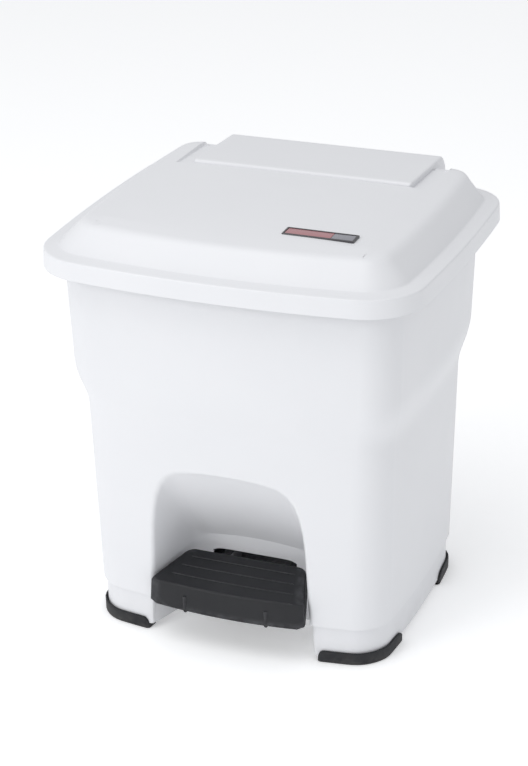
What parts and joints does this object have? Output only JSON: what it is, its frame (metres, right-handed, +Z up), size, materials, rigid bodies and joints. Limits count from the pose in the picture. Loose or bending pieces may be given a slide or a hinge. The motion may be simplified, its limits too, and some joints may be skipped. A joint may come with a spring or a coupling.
{
  "type": "pedal bin",
  "caption": "White pedal bin with a tapered shouldered body, domed hinged lid, rear hinge hood, arched foot recess and a black pedal; lift-out bucket inside.",
  "frame": {"origin": "on the floor under the middle of the bin's overall box", "axes": "+X to the bin's right as seen from the front, +Y to the back, +Z up; the pedal is at the -Y side"},
  "size_m": [0.39, 0.358, 0.433],
  "materials": {
    "white_plastic": "fine satin moulded polypropylene, cool white",
    "foot_rubber": "matt charcoal rubber",
    "buffer_rubber": "soft grey rubber",
    "bucket_plastic": "matt grey polypropylene",
    "pedal_plastic": "charcoal glass-filled nylon with a fine grain",
    "black_plastic": "satin black",
    "bearing_nylon": "natural nylon",
    "badge_frame": "dark gloss edge",
    "badge_insert": "plain two-tone label, no lettering",
    "zinc_steel": "zinc-plated, satin"
  },
  "bodies": {
    "bin": {"outer_body": "white_plastic", "base_frame": "white_plastic", "foot_front_left": "foot_rubber", "foot_front_right": "foot_rubber", "foot_rear_left": "foot_rubber", "foot_rear_right": "foot_rubber", "foot_screw_1": "zinc_steel", "foot_screw_2": "zinc_steel", "foot_screw_3": "zinc_steel", "foot_screw_4": "zinc_steel", "hinge_bracket_left": "white_plastic", "hinge_bracket_right": "white_plastic", "bracket_screw_1": "zinc_steel", "bracket_screw_2": "zinc_steel", "bracket_screw_3": "zinc_steel", "bracket_screw_4": "zinc_steel", "inner_bucket": "bucket_plastic", "bag_ring": "black_plastic", "rear_cover": "white_plastic", "cover_screw_1": "zinc_steel", "cover_screw_2": "zinc_steel", "cover_screw_3": "zinc_steel", "cover_screw_4": "zinc_steel", "rod_guide_upper": "bearing_nylon", "rod_guide_lower": "bearing_nylon", "damper_cylinder": "black_plastic", "return_spring": "zinc_steel", "pedal_axle": "zinc_steel", "axle_clip_left": "zinc_steel", "axle_clip_right": "zinc_steel"},
    "lid": {"lid_shell": "white_plastic", "hinge_hood": "white_plastic", "hood_screw_1": "zinc_steel", "hood_screw_2": "zinc_steel", "hood_screw_3": "zinc_steel", "hood_screw_4": "zinc_steel", "badge_frame": "badge_frame", "badge_insert": "badge_insert", "lid_buffer_left": "buffer_rubber", "lid_buffer_right": "buffer_rubber", "hinge_shaft": "zinc_steel", "crank_arm": "zinc_steel", "crank_pin": "zinc_steel"},
    "push_rod": {"push_rod": "zinc_steel", "rod_head": "black_plastic", "rod_foot": "black_plastic", "rod_collar": "black_plastic", "damper_piston": "zinc_steel"},
    "pedal": {"pedal_tread": "pedal_plastic", "pedal_lever": "zinc_steel", "tread_screw_1": "zinc_steel", "tread_screw_2": "zinc_steel", "lever_pin": "zinc_steel", "pedal_bush_left": "bearing_nylon", "pedal_bush_right": "bearing_nylon"}
  },
  "joints": [
    {"name": "lid_hinge", "type": "hinge", "parent": "bin", "child": "lid", "pos_m": [0, 0.163, 0.401], "axis": [-1, 0, 0], "range_deg": [0, 80]},
    {"name": "rod_lift", "type": "slide", "parent": "bin", "child": "push_rod", "axis": [0, 0, 1], "range_m": [0, 0.0272], "deforming": ["return_spring"]},
    {"name": "pedal_hinge", "type": "hinge", "parent": "bin", "child": "pedal", "pos_m": [0, -0.014, 0.056], "axis": [1, 0, 0], "range_deg": [0, 9.78]}
  ],
  "couplings": [
    {"joint": "rod_lift", "follows": "lid_hinge", "m_per_rad": 0.019335},
    {"joint": "pedal_hinge", "follows": "lid_hinge", "ratio": 0.12161}
  ]
}
